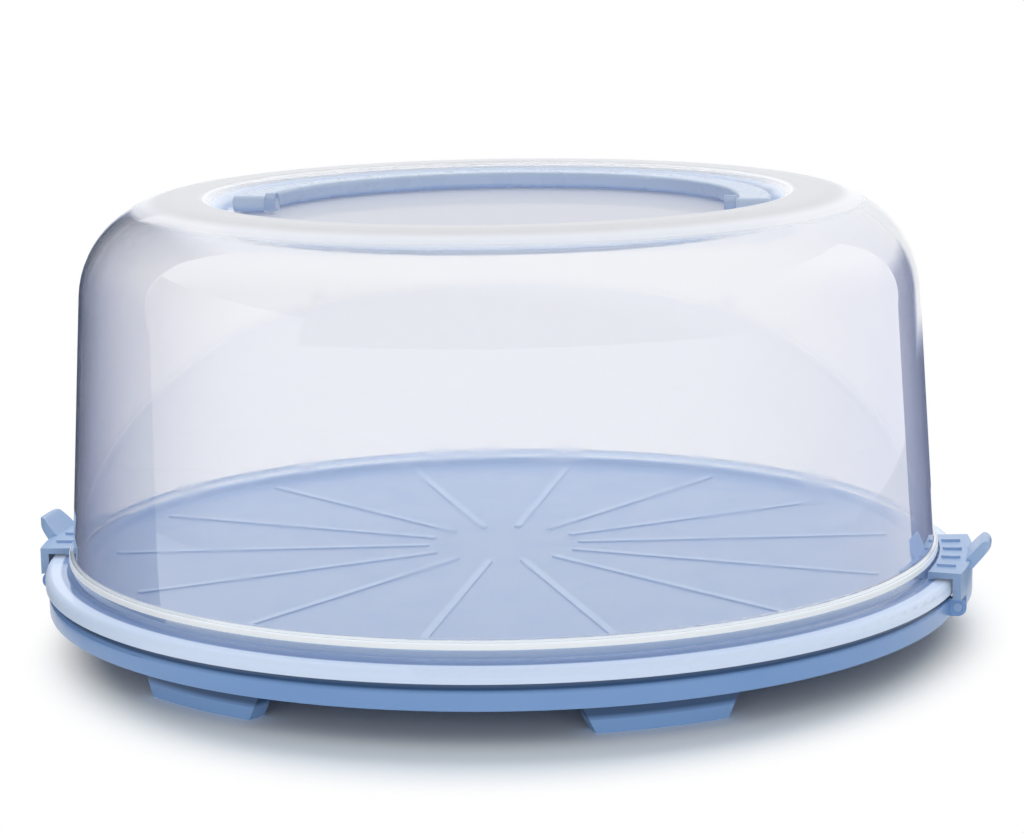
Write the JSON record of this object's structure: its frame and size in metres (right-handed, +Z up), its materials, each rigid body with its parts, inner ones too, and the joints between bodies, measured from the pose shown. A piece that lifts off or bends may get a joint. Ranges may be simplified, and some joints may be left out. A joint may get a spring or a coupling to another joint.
{
  "type": "cake carrier",
  "caption": "Round cake carrier: a footed tray, a clear domed hood hinged and latched at the rim by swinging clips, and a half-ring handle that folds into the top.",
  "frame": {"origin": "centre of the round tray at table height, on the feet's resting plane", "axes": "+X through the latch clip, -X through the hinge clip, +Y to the side where the folded handle lies, +Z up"},
  "size_m": [0.3638, 0.3427, 0.162],
  "materials": {
    "tray": "satin",
    "hood": "clear gloss",
    "handle": "satin",
    "clips": "satin"
  },
  "bodies": {
    "tray": {"base_tray": "tray"},
    "hood": {"hood": "hood"},
    "handle": {"carry_handle": "handle"},
    "latch": {"latch_clip": "clips"},
    "hinge_clip": {"hinge_clip": "clips"}
  },
  "joints": [
    {"name": "hood_hinge", "type": "hinge", "parent": "tray", "child": "hood", "pos_m": [-0.1708, 0, 0.015], "axis": [0, -1, 0], "range_deg": [0, 100]},
    {"name": "latch_swing", "type": "hinge", "parent": "tray", "child": "latch", "pos_m": [0.1708, 0, 0.015], "axis": [0, 1, 0], "range_deg": [0, 90]},
    {"name": "hinge_clip_release", "type": "hinge", "parent": "hood", "child": "hinge_clip", "pos_m": [-0.1708, 0, 0.015], "axis": [0, -1, 0], "range_deg": [0, 45]},
    {"name": "handle_fold", "type": "hinge", "parent": "hood", "child": "handle", "pos_m": [0, 0, 0.1564], "axis": [1, 0, 0], "range_deg": [0, 180]}
  ]
}
